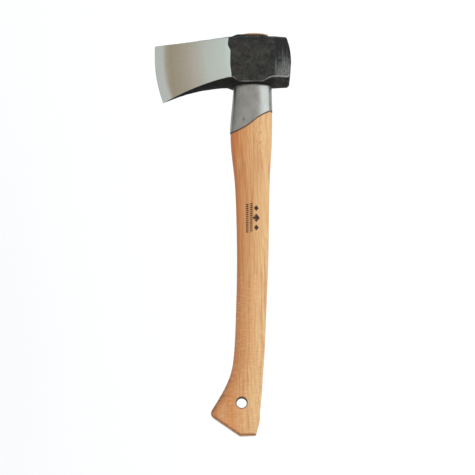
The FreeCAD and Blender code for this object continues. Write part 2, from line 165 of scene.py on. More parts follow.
def cheek_low(back):
    """Height of the cheek's lower edge, without the ring."""
    before = np.clip(ROOT_BACK - back, 0.0, None)
    behind = np.clip(back - ROOT_BACK, 0.0, None)
    return CHEEK_LOW - LOW_SLOPE * before - LOW_CURVE * before**2 + LOW_TAIL * behind


def cheek_high(back):
    """Height of the cheek's upper edge, without the ring."""
    before = np.clip(ROOT_BACK - back, 0.0, None)
    behind = np.clip(back - THROAT_BACK, 0.0, None)
    over_eye = np.clip(np.minimum(back, THROAT_BACK) - ROOT_BACK, 0.0, None)
    return CHEEK_HIGH - HIGH_SLOPE * before + HIGH_EYE_SLOPE * over_eye - HIGH_POLL_SLOPE * behind


def ring_distance(back, across, inset):
    """Distance outside the ring's outline, inset by this much; negative inside."""
    corner = RING_CORNER - inset
    middle = (RING_FRONT + RING_BACK) / 2.0
    half_length = (RING_BACK - RING_FRONT) / 2.0 - inset - corner
    half_width = EYE_HALF - inset - corner
    dx = np.abs(back - middle) - half_length
    dz = np.abs(across) - half_width
    outside = np.hypot(np.maximum(dx, 0.0), np.maximum(dz, 0.0))
    return outside + np.minimum(np.maximum(dx, dz), 0.0) - corner


def underside(back, across, half):
    """Height of the head's crowned under face, with the ring round the eye."""
    crown = cheek_low(back) - CROWN_LOW * half * (1.0 - (across / half) ** 2)
    out = np.maximum(ring_distance(back, across, RING_BEVEL), 0.0)
    wall = RING_WALL_FRONT + (RING_WALL_BACK - RING_WALL_FRONT) * smooth_step(RING_FRONT, RING_BACK, back)
    ring = np.where(out < RING_BEVEL, out, RING_BEVEL + wall * (out - RING_BEVEL))
    return smooth_min(crown, ring, UNDER_FILLET)


def top_side(back, across, half):
    """Height of the head's crowned upper face, with the ring round the eye."""
    crown = cheek_high(back) + CROWN_HIGH * half * (1.0 - (across / half) ** 2)
    out = np.maximum(ring_distance(back, across, RING_SHOULDER), 0.0)
    slope = RING_SHOULDER_RISE / RING_SHOULDER * out
    wall = RING_SHOULDER_RISE + SHOULDER_WALL * (out - RING_SHOULDER)
    ring = RING_TOP - np.where(out < RING_SHOULDER, slope, wall)
    return -smooth_min(-crown, -ring, TOP_FILLET)


def eased(count, edge_share):
    """Fractions from 0 to 1, closer together near both ends."""
    t = np.linspace(0.0, 1.0, count)
    return (1.0 - edge_share) * t + edge_share * (0.5 - 0.5 * np.cos(math.pi * t))


def head_stations():
    """Share of the way from edge to poll, and inset, for each cross-section, with the poll's round rim."""
    rim_share = RIM / POLL_BACK
    stations = [(share * (1.0 - rim_share), 0.0) for share in np.linspace(0.0, 1.0, STATIONS)]
    for angle in np.radians(RIM_TURNS):
        stations.append((1.0 - rim_share * (1.0 - math.sin(angle)), RIM * (1.0 - math.cos(angle))))
    return stations


def head_point(share, inset, row, column):
    """A point of the head's outer surface as (back, up, across) in millimetres.

    row runs from 0 at the under face to 1 at the upper face, column from -1 to 1 across the thickness.
    """
    up = np.full(np.broadcast(row, column).shape, MIDDLE_UP)
    for _ in range(SOLVE_PASSES):
        front, rear = edge_back(up), poll_back(up)
        back = front + share * (rear - front)
        half = half_thickness(back, up) - inset
        across = column * half
        low = underside(back, across, half) + inset
        high = top_side(back, across, half) - inset
        up = low + row * (high - low)
    return np.stack([back, up, across], axis=-1)


def ring_coordinates():
    """Row and column of each point round one cross-section: cheek, upper face, cheek, under face."""
    rows = eased(CHEEK_ROWS, 0.5)[:-1]
    columns = (2.0 * eased(CROWN_ROWS, 0.5) - 1.0)[:-1]
    row = np.concatenate([rows, np.ones(len(columns)), 1.0 - rows, np.zeros(len(columns))])
    column = np.concatenate([np.ones(len(rows)), -columns, -np.ones(len(rows)), columns])
    return row, column


def round_corners(section, passes):
    """Soften the four long corners of a cross-section by averaging the points beside them."""
    rows, columns = CHEEK_ROWS - 1, CROWN_ROWS - 1
    corners = np.array([0, rows, rows + columns, 2 * rows + columns])
    near = np.unique(np.concatenate([corners + step for step in (-1, 0, 1)]) % len(section))
    for _ in range(passes):
        before, after = np.roll(section, 1, axis=0), np.roll(section, -1, axis=0)
        section[near] += 0.5 * (0.5 * (before[near] + after[near]) - section[near])
    return section


def build_head():
    """The forged head as one closed mesh: its points and its faces."""
    row, column = ring_coordinates()
    count = len(row)
    sections = [
        round_corners(head_point(share, inset, row, column), 2) for share, inset in head_stations()
    ]
    points = np.concatenate(sections)
    faces = []
    for base in range(0, (len(sections) - 1) * count, count):
        above = base + count
        for i in range(count):
            j = (i + 1) % count
            faces.append((base + i, base + j, above + j, above + i))
    for base in (0, (len(sections) - 1) * count):
        points, cap = close_end(points, base, count)
        faces.extend(cap)
    return points, faces


def close_end(points, base, count):
    """Fill one end of the head with a grid between its two cheeks; returns all points and the new faces."""
    rows, columns = CHEEK_ROWS - 1, CROWN_ROWS - 1
    grid = np.zeros((CHEEK_ROWS, CROWN_ROWS), dtype=int)
    extra = []
    for r in range(CHEEK_ROWS):
        right = base + r
        left = base + (2 * rows + columns - r) % count
        for c in range(CROWN_ROWS):
            low = base + (2 * rows + columns + c) % count
            high = base + rows + columns - c
            if r == 0:
                grid[r, c] = low
            elif r == rows:
                grid[r, c] = high
            elif c == 0:
                grid[r, c] = left
            elif c == columns:
                grid[r, c] = right
            else:
                side = points[left] + (points[right] - points[left]) * c / columns
                span = points[low] + (points[high] - points[low]) * r / rows
                grid[r, c] = len(points) + len(extra)
                extra.append(np.array([side[0], span[1], side[2]]))
    faces = [
        (grid[r, c], grid[r, c + 1], grid[r + 1, c + 1], grid[r + 1, c])
        for r in range(rows) for c in range(columns)
    ]
    return np.concatenate([points, np.array(extra)]), faces


def make_object(name, points, faces, smooth=True):
    """A mesh object at the origin from points in metres."""
    mesh = bpy.data.meshes.new(name)
    mesh.from_pydata([tuple(p) for p in points], [], [tuple(int(i) for i in face) for face in faces])
    mesh.validate()
    turn_outwards(mesh)
    if smooth:
        mesh.shade_smooth()
    else:
        mesh.shade_flat()
    piece = bpy.data.objects.new(name, mesh)
    bpy.context.scene.collection.objects.link(piece)
    return piece


def turn_outwards(mesh):
    """Point every face out of its solid."""
    bm = bmesh.new()
    bm.from_mesh(mesh)
    bmesh.ops.recalc_face_normals(bm, faces=bm.faces)
    bm.to_mesh(mesh)
    bm.free()


def make_head_piece():
    """The visible head."""
    local, faces = build_head()
    world = np.stack([local[:, 0] + EDGE_X, local[:, 1] + RING_Y, local[:, 2]], axis=-1) * MM
    piece = make_object("forged_head", world, faces)
    roughen(piece)
    open_eye(piece)
    paint_head(piece)
    return piece


def read_vectors(source, field):
    """Positions or normals as an array with a row for each."""
    values = np.empty(len(source) * 3)
    source.foreach_get(field, values)
    return values.reshape(-1, 3)


def head_coordinates(points):
    """Back, up and across of points in metres."""
    return (points / MM - np.array([EDGE_X, RING_Y, 0.0])).T


def roughen(piece):
    """Sink the faces that the wheel leaves alone, as hammer and scale do; nothing grows outwards."""
    mesh = piece.data
    points, normals = read_vectors(mesh.vertices, "co"), read_vectors(mesh.vertex_normals, "vector")
    dents = noise_field(points / MM, DENT_SIZE, 1.0, 2)
    grit = noise_field(points / MM, GRIT_SIZE, 2.0, 2)
    sink = DENT_SINK * np.clip(0.35 + dents, 0.0, 1.0) + GRIT_SINK * np.clip(0.2 + grit, 0.0, 1.0)
    points -= normals * (sink * (1.0 - ground_share(points)) * MM)[:, None]
    mesh.vertices.foreach_set("co", points.ravel())
    mesh.update()


def ground_share(points):
    """1 on the ground part of the cheeks and at the cutting edge, 0 on forged faces."""
    back, up, across = head_coordinates(points)
    depth = edge_distance(back, up)
    on_cheek = smooth_step(0.7, 0.15, half_thickness(back, up) - np.abs(across))
    ahead_of_scale = smooth_step(SCALE_DEPTH + SCALE_FADE, SCALE_DEPTH, depth)
    at_edge = smooth_step(9.0, 4.0, depth)
    return np.maximum(on_cheek * ahead_of_scale, at_edge)


def eye_outline(up):
    """Oval of the eye at a height, as (back, across) points."""
    share = up / EYE_TOP
    front = EYE_FRONT + (EYE_FRONT_TOP - EYE_FRONT) * share
    rear = EYE_REAR + (EYE_REAR_TOP - EYE_REAR) * share
    half = EYE_WIDTH + (EYE_WIDTH_TOP - EYE_WIDTH) * share
    turn = np.linspace(0.0, 2.0 * math.pi, EYE_POINTS, endpoint=False)
    return (front + rear) / 2.0 + (rear - front) / 2.0 * np.cos(turn), half * np.sin(turn)


def open_eye(piece):
    """Cut the tapering eye through the head."""
    ends = []
    for up in (-EYE_OVERRUN, EYE_TOP + EYE_OVERRUN):
        back, across = eye_outline(up)
        ends.append(np.stack([back + EDGE_X, np.full(EYE_POINTS, up + RING_Y), across], axis=-1))
    sides = []
    for i in range(EYE_POINTS):
        j = (i + 1) % EYE_POINTS
        sides.append((i, j, EYE_POINTS + j, EYE_POINTS + i))
    caps = [tuple(reversed(range(EYE_POINTS))), tuple(range(EYE_POINTS, 2 * EYE_POINTS))]
    cutter = make_object("eye_cutter", np.concatenate(ends) * MM, sides + caps, smooth=False)
    cut = piece.modifiers.new("eye", "BOOLEAN")
    cut.operation = "DIFFERENCE"
    cut.solver = "EXACT"
    cut.object = cutter
    apply_modifiers(piece)
    bpy.data.objects.remove(cutter)


def paint_head(piece):
    """Store where the cheeks are, and where corners are worn bright, with a painted highlight mostly along
    the lower corners.
    """
    mesh = piece.data
    back, up, across = head_coordinates(read_vectors(mesh.vertices, "co"))
    half = half_thickness(back, up)
    near_corner = 0.98 * half
    side_gap = half - np.abs(across)
    low_gap = up - underside(back, near_corner, half)
    high_gap = top_side(back, near_corner, half) - up
    width = 0.9 + 0.7 * smooth_step(THROAT_BACK - 14.0, THROAT_BACK, back)
    # corners worn bright plus a painted highlight: the lower corners in full, the upper ones at a quarter
    low_wear_and_highlight, high_wear_and_highlight = (
        smooth_step(1.0, 0.3, np.hypot(np.clip(side_gap, 0.0, None), np.clip(gap, 0.0, None)) / width)
        for gap in (low_gap, high_gap)
    )
    behind_root = smooth_step(ROOT_BACK - 4.0, ROOT_BACK + 12.0, back)
    store(mesh, "cheek", smooth_step(0.75, 0.45, side_gap))
    store(mesh, "wear_and_highlight", np.maximum(low_wear_and_highlight, 0.25 * high_wear_and_highlight) * behind_root)


def store(mesh, name, values):
    """Put one value per vertex on the mesh."""
    mesh.attributes.new(name, "FLOAT", "POINT").data.foreach_set("value", values)


# ---------------------------------------------------------------- pieces resampled from the CAD solids

def resampled(node, name, voxel, passes):
    """A copy of a CAD node as an even quad mesh, lightly smoothed, so that its edges are softly broken."""
    piece = bpy.data.objects.new(name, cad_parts[node].data.copy())
    bpy.context.scene.collection.objects.link(piece)
    bpy.context.view_layer.objects.active = piece
    piece.data.materials.clear()
    remesh = piece.modifiers.new("even_quads", "REMESH")
    remesh.mode = "VOXEL"
    remesh.voxel_size = voxel
    relax = piece.modifiers.new("relax", "SMOOTH")
    relax.factor = 0.5
    relax.iterations = passes
    apply_modifiers(piece)
    piece.data.shade_smooth()
    return piece


def apply_modifiers(piece):
    """Replace the piece's mesh by its mesh after modifiers."""
    graph = bpy.context.evaluated_depsgraph_get()
    mesh = bpy.data.meshes.new_from_object(piece.evaluated_get(graph))
    piece.modifiers.clear()
    piece.data = mesh


# ---------------------------------------------------------------- materials

class Surface:
    """A material under construction; short calls add its nodes and link them.

    place is the point in the hatchet's own millimetres, and x, y and z are its coordinates.
    """

    def __init__(self, name):
        self.material = bpy.data.materials.new(name)
        self.material.use_nodes = True
        self.tree = self.material.node_tree
        self.shader = self.tree.nodes["Principled BSDF"]
        self.place = self.scaled(self.add("ShaderNodeTexCoord").outputs["Object"], (1.0 / MM,) * 3)
        self.x, self.y, self.z = self.add("ShaderNodeSeparateXYZ", {"Vector": self.place}).outputs

    def add(self, kind, inputs=None, **settings):
        """A node with these settings; inputs are numbers, colours or the outputs of other nodes."""
        node = self.tree.nodes.new(kind)
        for key, value in settings.items():
            setattr(node, key, value)
        for key, value in (inputs or {}).items():
            self.feed(node.inputs[key], value)
        return node

    def feed(self, socket, value):
        """Link or set one input."""
        if isinstance(value, bpy.types.NodeSocket):
            self.tree.links.new(value, socket)
        else:
            socket.default_value = value

    def scaled(self, vector, factors):
        """A vector times a constant in each direction."""
        return self.add("ShaderNodeVectorMath", {0: vector, 1: factors}, operation="MULTIPLY").outputs[0]

    def calc(self, operation, a, b=0.0, clamp=False):
        """One sum on two values."""
        return self.add("ShaderNodeMath", {0: a, 1: b}, operation=operation, use_clamp=clamp).outputs[0]

    def total(self, *values):
        """The sum of several values."""
        out = values[0]
        for value in values[1:]:
            out = self.calc("ADD", out, value)
        return out

    def product(self, *values):
        """Several values multiplied."""
        out = values[0]
        for value in values[1:]:
            out = self.calc("MULTIPLY", out, value)
        return out

    def gap(self, value, target):
        """How far a value is from a target, either way."""
        return self.calc("ABSOLUTE", self.calc("SUBTRACT", value, target))

    def swing(self, value, reach):
        """A noise moved to swing about zero, and scaled."""
        return self.product(self.calc("SUBTRACT", value, 0.5), reach)

    def rise(self, value, low, high, start=0.0, end=1.0):
        """start at low, end at high, and a smooth change between; low may be the larger."""
        inputs = {"Value": value, "From Min": low, "From Max": high, "To Min": start, "To Max": end}
        return self.add("ShaderNodeMapRange", inputs, interpolation_type="SMOOTHSTEP").outputs[0]

    def distance(self, centre, y_stretch=1.0):
        """Distance from the line along +Z through a place, with heights counted y_stretch times."""
        flat = self.scaled(self.place, (1.0, y_stretch, 0.0))
        inputs = {0: flat, 1: (centre[0], centre[1] * y_stretch, 0.0)}
        return self.add("ShaderNodeVectorMath", inputs, operation="DISTANCE").outputs["Value"]

    def inward(self, start, end):
        """Distance to the left of the line from one place to another, seen from +Z."""
        run, climb = end[0] - start[0], end[1] - start[1]
        length = math.hypot(run, climb)
        offset = (climb * start[0] - run * start[1]) / length
        return self.total(self.product(self.x, -climb / length), self.product(self.y, run / length), offset)

    def facing(self):
        """The outward direction of the surface as x, y and z."""
        normal = self.add("ShaderNodeTexCoord").outputs["Normal"]
        return self.add("ShaderNodeSeparateXYZ", {"Vector": normal}).outputs

    def mix(self, share, a, b):
        """Colour a where share is 0, b where it is 1."""
        return self.add("ShaderNodeMix", {0: share, 6: a, 7: b}, data_type="RGBA").outputs[2]

    def fade(self, share, a, b):
        """Value a where share is 0, b where it is 1."""
        return self.add("ShaderNodeMix", {0: share, 2: a, 3: b}).outputs[0]

    def noise(self, size, seed, detail=3.0, roughness=0.55):
        """Noise from about 0.2 to 0.8; size is that of its blobs in x, y and z, in millimetres."""
        stretched = self.scaled(self.place, tuple(1.0 / s for s in size))
        shift = (seed * 7.7, seed * 3.1, seed * 5.3)
        moved = self.add("ShaderNodeVectorMath", {0: stretched, 1: shift}).outputs[0]
        inputs = {"Vector": moved, "Scale": 1.0, "Detail": detail, "Roughness": roughness}
        return self.add("ShaderNodeTexNoise", inputs).outputs[0]

    def colours(self, value, stops):
        """A colour ramp through (position, colour) stops."""
        ramp = self.add("ShaderNodeValToRGB", {0: value})
        elements = ramp.color_ramp.elements
        while len(elements) < len(stops):
            elements.new(0.5)
        for element, (position, colour) in zip(elements, stops):
            element.position = position
            element.color = colour
        return ramp.outputs[0]

    def attribute(self, name):
        """A value stored on the mesh."""
        return self.add("ShaderNodeAttribute", attribute_name=name).outputs["Fac"]

    def finish(self, colour, roughness, metallic, relief, depth, specular=0.5):
        """Feed the shader; depth is the millimetres that one unit of relief stands for."""
        self.feed(self.shader.inputs["Base Color"], colour)
        self.feed(self.shader.inputs["Roughness"], roughness)
        self.feed(self.shader.inputs["Metallic"], metallic)
        self.shader.inputs["Specular IOR Level"].default_value = specular
        bump = self.add("ShaderNodeBump", {"Height": relief, "Distance": depth * MM, "Strength": 1.0})
        self.feed(self.shader.inputs["Normal"], bump.outputs[0])
        return self.material


def rgb(red, green, blue):
    """A colour, linear."""
    return (red, green, blue, 1.0)


# The ground steel's colours are partly painted reflection: light on the edge bevel, a dark brownish band
# behind it, then lighter towards the eye.
BEVEL_STEEL_AND_REFLECTION = rgb(0.540, 0.575, 0.530)
CHEEK_STEEL_AND_REFLECTION = [     # by the depth behind the edge, in tenths of a metre
    (0.10, rgb(0.430, 0.395, 0.315)), (0.18, rgb(0.360, 0.310, 0.228)), (0.32, rgb(0.405, 0.362, 0.283)),
    (0.50, rgb(0.490, 0.462, 0.392)), (0.64, rgb(0.545, 0.580, 0.525)), (0.88, rgb(0.590, 0.655, 0.600)),
]
# worn corners, partly a painted highlight along the lower edges
RUBBED_CORNER_AND_HIGHLIGHT = rgb(0.36, 0.365, 0.35)
SCALE_GREY, SCALE_BROWN = rgb(0.0095, 0.0105, 0.0095), rgb(0.0230, 0.0185, 0.0130)
SCALE_BLOTCH, SCALE_MOTTLE = rgb(0.040, 0.038, 0.032), rgb(0.050, 0.049, 0.043)
# the second of these is painted shade for the crowned faces
SCALE_GRAIN, SCALE_PAINTED_SHADE = rgb(0.006, 0.006, 0.006), rgb(0.0025, 0.0025, 0.0025)
POLL_DULL, POLL_PALE = rgb(0.019, 0.019, 0.018), rgb(0.160, 0.163, 0.155)
POLL_MOTTLE, POLL_TORN = rgb(0.016, 0.016, 0.015), rgb(0.008, 0.008, 0.008)


def ground_part(s, depth, cheek):
    """Where the wheel has been: in from the edge as far as a wandering line with a step near its top."""
    wander = s.swing(s.noise((400.0, 21.0, 400.0), 1, 0.0), 3.0)
    below = s.calc("MAXIMUM", s.calc("SUBTRACT", 431.0, s.y), 0.0)
    pull = s.calc("POWER", s.product(below, 0.0725), 2.0)
    step = s.rise(s.y, 440.0, 430.0, -0.2, -3.8)
    line = s.total(depth, wander, pull, step, -GRIND_DEPTH - 2.6)
    return s.product(s.rise(line, -0.25, 0.25, 1.0, 0.0), cheek)


def ground_steel(s, depth):
    """Bands of painted reflection that follow the edge, on the steel's own grey, and fine lines along the
    wheel's travel: colour, roughness, relief.
    """
    streak = s.noise((38.0, 0.22, 6.0), 2, 3.0, 0.7)
    broad_streak = s.noise((55.0, 1.6, 9.0), 3, 2.0, 0.6)
    cloud = s.noise((9.0, 22.0, 12.0), 4, 2.0)
    # bands of painted reflection across the ground cheek, following the edge
    band = s.total(depth, s.swing(cloud, 9.0), s.swing(broad_streak, 7.0))
    behind_bevel = s.rise(s.calc("ADD", depth, s.swing(cloud, 1.5)), 8.5, 14.5)
    colour = s.mix(behind_bevel, BEVEL_STEEL_AND_REFLECTION, s.colours(s.product(band, 0.01), CHEEK_STEEL_AND_REFLECTION))
    tone = s.fade(streak, 0.73, 0.99)
    colour = s.add("ShaderNodeVectorMath", {0: colour, 3: tone}, operation="SCALE").outputs[0]
    rough = s.total(0.24, s.product(streak, 0.22), s.product(cloud, 0.08))
    return colour, rough, s.product(streak, 0.09)


def forge_scale(s, cheek):
    """Mottled dark scale, browner in places and paler on the poll: colour, roughness, metal, relief."""
    mottle = s.noise((2.6, 2.6, 2.6), 5, 5.0, 0.65)
    patch = s.noise((13.0, 9.0, 13.0), 6, 3.0)
    grain = s.noise((0.6, 0.6, 0.6), 7, 3.0, 0.6)
    blotch = s.noise((8.0, 6.0, 8.0), 10, 7.0, 0.68)
    pits = s.noise((0.9, 0.9, 0.9), 9, 2.0)
    colour = s.mix(s.rise(patch, 0.42, 0.62), SCALE_GREY, SCALE_BROWN)
    colour = s.mix(s.rise(blotch, 0.42, 0.66), colour, SCALE_BLOTCH)
    colour = s.mix(s.rise(mottle, 0.46, 0.70, 0.0, 0.6), colour, SCALE_MOTTLE)
    colour = s.mix(s.rise(grain, 0.54, 0.72, 0.0, 0.7), colour, SCALE_GRAIN)
    crowned = s.rise(s.attribute("cheek"), 0.2, 0.8, 1.0, 0.0)
    # painted shade on the crowned upper and under faces, strongest towards the blade and gone at the poll
    colour = s.mix(s.product(crowned, s.rise(s.x, 32.0, 46.0, 0.70, -0.05)), colour, SCALE_PAINTED_SHADE)

    # the poll: drawn lines across its cheek, brighter lower down, with one torn patch
    drawn = s.noise((1.3, 26.0, 3.0), 8, 3.0, 0.6)
    poll = s.product(s.rise(s.calc("ADD", s.x, s.product(drawn, 2.0)), 40.5, 44.5), cheek)
    poll_paleness = s.total(s.rise(s.y, 440.0, 403.0, -0.13, 0.34), s.product(drawn, 0.85),
                     s.rise(s.x, 42.0, 52.0, -0.12, 0.0))
    poll_colour = s.mix(s.rise(poll_paleness, 0.28, 0.86), POLL_DULL, POLL_PALE)
    poll_colour = s.mix(s.rise(mottle, 0.52, 0.70), poll_colour, POLL_MOTTLE)
    colour = s.mix(poll, colour, poll_colour)
    from_torn = s.calc("ADD", s.distance(TORN_PATCH, 0.72), s.product(blotch, 26.0))
    torn = s.product(s.rise(from_torn, 11.5, 15.0, 1.0, 0.0), poll)
    colour = s.mix(torn, colour, POLL_TORN)

    # worn corners and a painted highlight along the lower corners, in patches
    wear_and_highlight = s.calc("MULTIPLY", s.attribute("wear_and_highlight"), s.rise(mottle, 0.30, 0.50), clamp=True)
    colour = s.mix(wear_and_highlight, colour, RUBBED_CORNER_AND_HIGHLIGHT)
    rough = s.total(0.46, s.product(mottle, 0.30), s.product(poll, -0.10), s.product(crowned, 0.30))
    metal = s.calc("MAXIMUM", s.product(poll, 0.55), wear_and_highlight)
    relief = s.total(s.product(mottle, 1.6), s.product(grain, 0.7), s.product(torn, -2.0),
                     s.rise(pits, 0.30, 0.42, -0.7, 0.0))
    return colour, rough, metal, relief


def forged_steel():
    """Dark forge scale, with cheeks ground bright from the cutting edge back to the eye."""
    s = Surface("forged_steel")
    bit_centre = (EDGE_X + BIT_RADIUS, RING_Y + BIT_CENTRE_UP)
    depth = s.calc("SUBTRACT", BIT_RADIUS, s.distance(bit_centre))
    cheek = s.rise(s.attribute("cheek"), 0.35, 0.65)
    ground = ground_part(s, depth, cheek)
    bright, bright_rough, lines = ground_steel(s, depth)
    scale, scale_rough, scale_metal, lumps = forge_scale(s, cheek)
    return s.finish(
        s.mix(ground, scale, bright), s.fade(ground, scale_rough, bright_rough),
        s.fade(ground, scale_metal, 1.0), s.fade(ground, lumps, lines), 0.16, specular=0.22)


def sheet_steel():
    """Satin pressed sheet with faint handling marks, painted shade in its dimple, and painted shade along
    its cut edge and under the head.
    """
    s = Surface("sheet_steel")
    brushed = s.noise((0.5, 30.0, 0.5), 11, 3.0, 0.6)
    cloud = s.noise((9.0, 14.0, 9.0), 12, 4.0)
    speck = s.noise((0.7, 0.7, 0.7), 13, 2.0)
    dimple = s.rise(s.distance(DIMPLE), 0.8, 2.4, 1.0, 0.0)
    # painted shade: the collar's downward cut edge and its top just under the head
    edge = s.attribute("edge")
    colour = s.mix(s.rise(cloud, 0.35, 0.65), rgb(0.238, 0.232, 0.212), rgb(0.286, 0.280, 0.258))
    colour = s.mix(s.rise(brushed, 0.45, 0.75, 0.0, 0.35), colour, rgb(0.36, 0.365, 0.36))
    colour = s.mix(s.rise(speck, 0.66, 0.76, 0.0, 0.6), colour, rgb(0.13, 0.125, 0.115))
    # painted shade in the staking dimple
    colour = s.mix(s.product(dimple, 0.40), colour, rgb(0.070, 0.066, 0.060))
    # painted shade, dark and hardly metallic, on the cut edge and under the head
    colour = s.mix(edge, colour, rgb(0.035, 0.028, 0.022))
    rough = s.total(0.21, s.product(cloud, 0.14), s.product(speck, 0.06))
    relief = s.total(s.product(brushed, 0.25), s.product(cloud, 1.2), s.product(dimple, -6.0))
    return s.finish(colour, rough, s.fade(edge, 0.9, 0.2), relief, 0.05)


def wood_grain(s, pale, tan, dark, lean, seed):
    """Rings round a tree axis that leans from +Y, fibres, pores and end grain, with painted light towards +X
    and painted shade on faces turned to -X.

    Returns the colour, roughness and relief, with the coarse fibre noise and the end-grain pores.
    """
    drift = s.swing(s.noise((19.0, 110.0, 19.0), seed), 17.0)
    ripple = s.swing(s.noise((6.0, 34.0, 6.0), seed + 1, 2.0), 2.6)
    across = s.total(s.x, s.product(s.y, lean[0]), drift, 92.0)
    deep = s.total(s.z, s.product(s.y, lean[1]), ripple, 58.0)
    ring = s.calc("SQRT", s.calc("ADD", s.calc("POWER", across, 2.0), s.calc("POWER", deep, 2.0)))
    turn = s.calc("FRACT", s.product(ring, 0.30))
    late = s.product(s.rise(turn, 0.15, 0.92), s.rise(turn, 0.92, 1.0, 1.0, 0.0))

    fibre = s.noise((0.34, 15.0, 0.34), seed + 2, 4.0, 0.65)
    coarse = s.noise((1.9, 60.0, 1.9), seed + 3, 3.0, 0.6)
    figure = s.noise((9.0, 75.0, 9.0), seed + 4, 3.0, 0.6)
    pore = s.rise(s.noise((0.20, 3.2, 0.20), seed + 5, 1.0), 0.62, 0.70)
    fleck = s.noise((3.4, 0.75, 2.0), seed + 6, 3.0, 0.6)
    stripe = s.noise((3.2, 90.0, 3.2), seed + 9, 2.0, 0.5)
    dots = s.rise(s.noise((0.42, 0.42, 0.42), seed + 7, 1.0), 0.56, 0.66)
    normal = s.facing()

    # tan along the front edge and pale along the back: painted light on the side towards the window, +X,
    # mixed with the grain's figure and a paler knob end
    side = s.rise(s.calc("ADD", s.x, s.swing(coarse, 26.0)), -20.0, 34.0)
    warm = s.total(s.product(side, 0.85), s.product(s.rise(figure, 0.3, 0.7), 0.35),
                   s.rise(s.y, 60.0, 0.0, 0.0, 0.22))
    warm = s.calc("MINIMUM", warm, 1.0)
    light = s.mix(warm, s.mix(0.35, tan, pale), pale)
    colour = s.mix(warm, tan, pale)
    colour = s.mix(s.rise(stripe, 0.50, 0.66, 0.0, 0.42), colour, dark)
    colour = s.mix(s.rise(stripe, 0.46, 0.34, 0.0, 0.40), colour, light)
    colour = s.mix(s.product(late, s.rise(figure, 0.35, 0.65, 0.08, 0.42)), colour, dark)
    colour = s.mix(s.rise(fibre, 0.35, 0.72, 0.0, 0.30), colour, dark)
    colour = s.mix(s.rise(coarse, 0.42, 0.75, 0.0, 0.30), colour, dark)
    colour = s.mix(s.rise(coarse, 0.44, 0.30, 0.0, 0.45), colour, light)
    colour = s.mix(s.rise(fleck, 0.52, 0.72, 0.0, 0.22), colour, dark)
    colour = s.mix(s.product(pore, s.rise(turn, 0.0, 0.5, 0.55, 0.20)), colour, rgb(0.16, 0.075, 0.030))
    # painted shade on faces turned away from the window, towards -X
    colour = s.mix(s.product(s.rise(normal[0], -0.35, -0.85), 0.45), colour, dark)

    # cut ends drink the oil: darker, with the pores end-on, and paler again where they are flat
    end = s.rise(s.calc("ABSOLUTE", normal[1]), 0.16, 0.50)
    knob_end = s.rise(s.y, 60.0, 30.0, 0.25, 1.0)
    end_colour = s.mix(s.product(late, 0.6), s.mix(0.5, tan, dark), dark)
    end_colour = s.mix(s.product(dots, 0.6), end_colour, rgb(0.12, 0.055, 0.022))
    end_colour = s.mix(s.product(knob_end, 0.55), end_colour, rgb(0.150, 0.062, 0.020))
    colour = s.mix(s.product(end, knob_end), colour, end_colour)
    flat_end = s.product(s.rise(s.calc("ABSOLUTE", normal[1]), 0.66, 0.84), s.rise(s.y, 0.0, 10.0, 0.8, 0.0))
    colour = s.mix(flat_end, colour, s.mix(dots, rgb(0.62, 0.50, 0.38), rgb(0.30, 0.19, 0.11)))

    relief = s.total(s.product(fibre, 0.5), s.product(late, 0.5), s.product(pore, -0.9))
    rough = s.total(0.40, s.product(fibre, 0.22), s.product(end, 0.15))
    return colour, rough, relief, coarse, dots


def hickory():
    """The handle's oiled hickory, with its bevelled knob and the painted shade and highlight round its end,
    its arch of grain, the painted shadow along the collar, its mark and bore.
    """
    s = Surface("hickory")
    pale, tan, dark = rgb(0.715, 0.470, 0.205), rgb(0.600, 0.190, 0.036), rgb(0.430, 0.108, 0.018)
    colour, rough, relief, coarse, dots = wood_grain(s, pale, tan, dark, (0.035, 0.020), 41)

    # the knob's rim, by the distance inside its end faces: dark on the bevel, partly the end grain's own
    # darkness and partly painted shade, with a painted highlight line outside it, speckled like end grain
    rim = s.calc("MINIMUM", s.inward(KNOB_TIP, KNOB_TURN), s.inward(KNOB_TURN, KNOB_BACK))
    end_grain_highlight = s.mix(dots, rgb(0.52, 0.36, 0.22), rgb(0.28, 0.15, 0.07))
    colour = s.mix(s.rise(rim, 3.6, 2.4, 0.0, 0.70), colour, rgb(0.30, 0.105, 0.026))
    colour = s.mix(s.rise(rim, 1.15, 0.75, 0.0, 0.65), colour, end_grain_highlight)

    # an arch of pale grain beside the collar
    arch = s.calc("ADD", s.product(s.calc("POWER", s.calc("SUBTRACT", s.x, 23.0), 2.0), 0.55), s.y)
    arch = s.calc("ADD", arch, s.swing(coarse, 9.0))
    inside = s.product(s.rise(arch, 346.0, 339.0), s.rise(s.y, 285.0, 322.0))
    veins = s.rise(s.gap(s.calc("FRACT", s.product(arch, 0.085)), 0.5), 0.34, 0.46)
    colour = s.mix(s.product(inside, 0.35), colour, pale)
    colour = s.mix(s.product(inside, veins, 0.40), colour, dark)

    # curl in the grip, the painted shadow along the collar, the burned mark and the bore's rim
    curl = s.noise((8.0, 1.1, 8.0), 49, 2.0, 0.5)
    shimmer = s.product(s.rise(curl, 0.46, 0.66), s.rise(s.y, 120.0, 185.0, 0.20, 0.0))
    colour = s.mix(shimmer, colour, rgb(0.88, 0.62, 0.36))
    colour = s.mix(s.product(s.attribute("painted_collar_shadow"), 0.85), colour, rgb(0.070, 0.032, 0.014))
    burn = burned_mark(s)
    colour = s.mix(burn, colour, rgb(0.040, 0.017, 0.010))
    relief = s.calc("SUBTRACT", relief, s.product(burn, 1.5))
    rough = s.fade(burn, rough, 0.9)
    colour = s.mix(s.rise(s.distance(HANG_HOLE), 6.7, 7.7, 1.0, 0.0), colour, rgb(0.130, 0.060, 0.026))
    return s.finish(colour, rough, 0.0, relief, 0.06)


